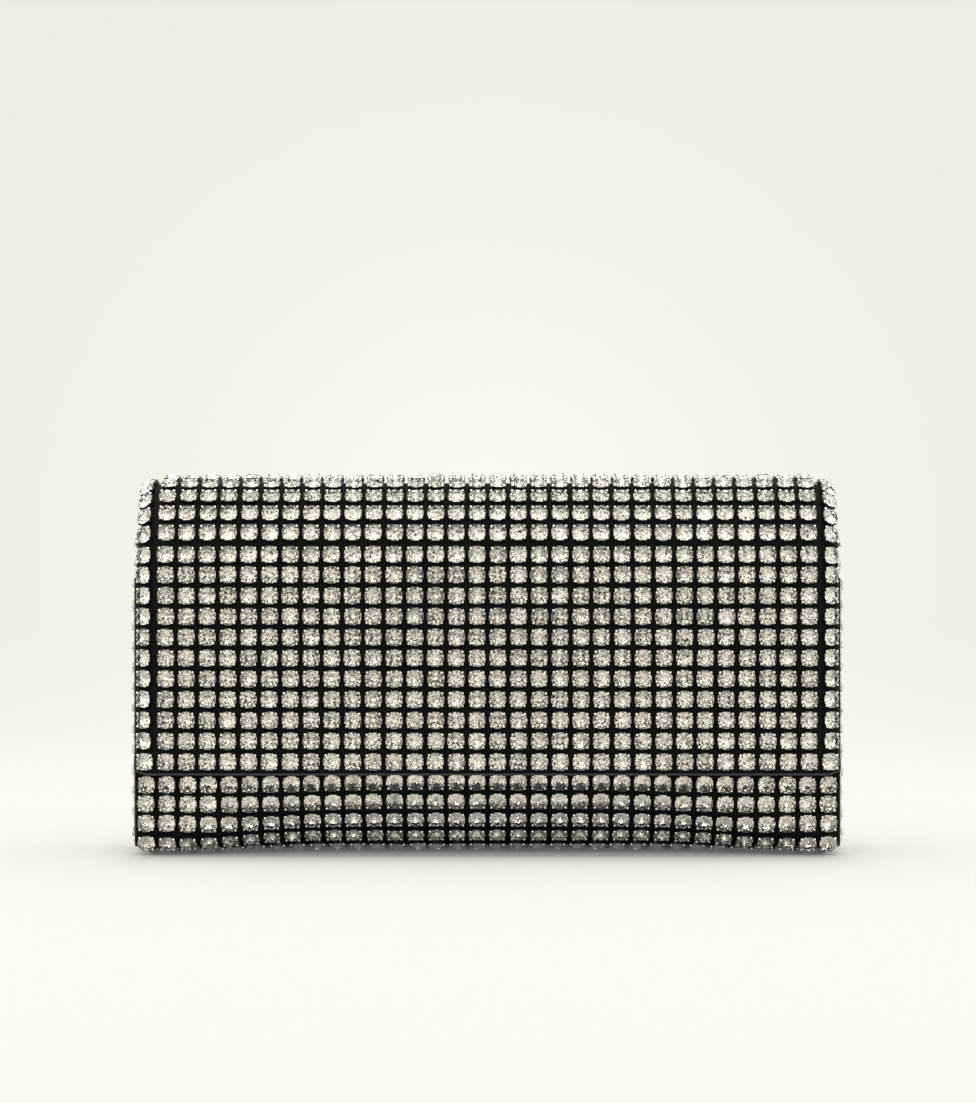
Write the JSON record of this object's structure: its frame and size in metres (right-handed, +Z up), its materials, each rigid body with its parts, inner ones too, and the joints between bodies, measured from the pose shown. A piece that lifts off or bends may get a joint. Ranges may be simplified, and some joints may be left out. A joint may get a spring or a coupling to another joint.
{
  "type": "crystal mesh evening bag",
  "caption": "Slim box-shaped evening bag covered in round crystals, with a flap that rolls over the top and closes on the front with a magnetic snap.",
  "frame": {"origin": "centre of the closed bag's footprint, on the surface it stands on", "axes": "+X to the right across the front, +Y to the back, +Z up"},
  "size_m": [0.2416, 0.0606, 0.13],
  "materials": {
    "crystal_mesh": "round brilliant crystals in silvery four-prong cups on black mesh",
    "shell_cloth": "black cloth over stiff board",
    "lining": "black satin",
    "binding": "black grosgrain and cord",
    "snap_steel": "dark nickel plate",
    "snap_magnet": "nickel-plated magnet"
  },
  "bodies": {
    "bag_body": {"front_crystal_mesh": "crystal_mesh", "back_crystal_mesh": "crystal_mesh", "base_crystal_mesh": "crystal_mesh", "left_gusset_crystal_mesh": "crystal_mesh", "right_gusset_crystal_mesh": "crystal_mesh", "front_board": "shell_cloth", "back_board": "shell_cloth", "base_board": "shell_cloth", "left_gusset_board": "shell_cloth", "right_gusset_board": "shell_cloth", "front_lining": "lining", "back_lining": "lining", "base_lining": "lining", "left_gusset_lining": "lining", "right_gusset_lining": "lining", "slip_pocket": "lining", "left_gusset_binding": "binding", "right_gusset_binding": "binding", "left_seam_piping": "binding", "right_seam_piping": "binding", "front_mouth_binding": "binding", "slip_pocket_binding": "binding", "snap_socket_case": "snap_steel", "snap_socket_washer": "snap_steel", "snap_socket_magnet": "snap_magnet"},
    "roll_5": {"roll_5_crystal_mesh": "crystal_mesh", "roll_5_backing": "shell_cloth", "roll_5_lining": "lining"},
    "roll_4": {"roll_4_crystal_mesh": "crystal_mesh", "roll_4_backing": "shell_cloth", "roll_4_lining": "lining"},
    "roll_3": {"roll_3_crystal_mesh": "crystal_mesh", "roll_3_backing": "shell_cloth", "roll_3_lining": "lining"},
    "roll_2": {"roll_2_crystal_mesh": "crystal_mesh", "roll_2_backing": "shell_cloth", "roll_2_lining": "lining"},
    "roll_1": {"roll_1_crystal_mesh": "crystal_mesh", "roll_1_backing": "shell_cloth", "roll_1_lining": "lining"},
    "flap": {"flap_crystal_mesh": "crystal_mesh", "flap_board": "shell_cloth", "flap_lining": "lining", "flap_edge_binding": "binding", "snap_stud": "snap_steel"}
  },
  "joints": [
    {"name": "fold_6", "type": "hinge", "parent": "bag_body", "child": "roll_5", "pos_m": [0, 0.0241, 0.11015], "axis": [-1, 0, 0], "range_deg": [0, 27]},
    {"name": "fold_5", "type": "hinge", "parent": "roll_5", "child": "roll_4", "pos_m": [0, 0.01664, 0.12122], "axis": [-1, 0, 0], "range_deg": [0, 27]},
    {"name": "fold_4", "type": "hinge", "parent": "roll_4", "child": "roll_3", "pos_m": [0, 0.00432, 0.12622], "axis": [-1, 0, 0], "range_deg": [0, 27]},
    {"name": "fold_3", "type": "hinge", "parent": "roll_3", "child": "roll_2", "pos_m": [0, -0.00907, 0.12529], "axis": [-1, 0, 0], "range_deg": [0, 27]},
    {"name": "fold_2", "type": "hinge", "parent": "roll_2", "child": "roll_1", "pos_m": [0, -0.01998, 0.11773], "axis": [-1, 0, 0], "range_deg": [0, 27]},
    {"name": "fold_1", "type": "hinge", "parent": "roll_1", "child": "flap", "pos_m": [0, -0.02546, 0.10551], "axis": [-1, 0, 0], "range_deg": [0, 27]}
  ],
  "couplings": [
    {"joint": "fold_5", "follows": "fold_6", "ratio": 1},
    {"joint": "fold_4", "follows": "fold_6", "ratio": 1},
    {"joint": "fold_3", "follows": "fold_6", "ratio": 1},
    {"joint": "fold_2", "follows": "fold_6", "ratio": 1},
    {"joint": "fold_1", "follows": "fold_6", "ratio": 1}
  ]
}
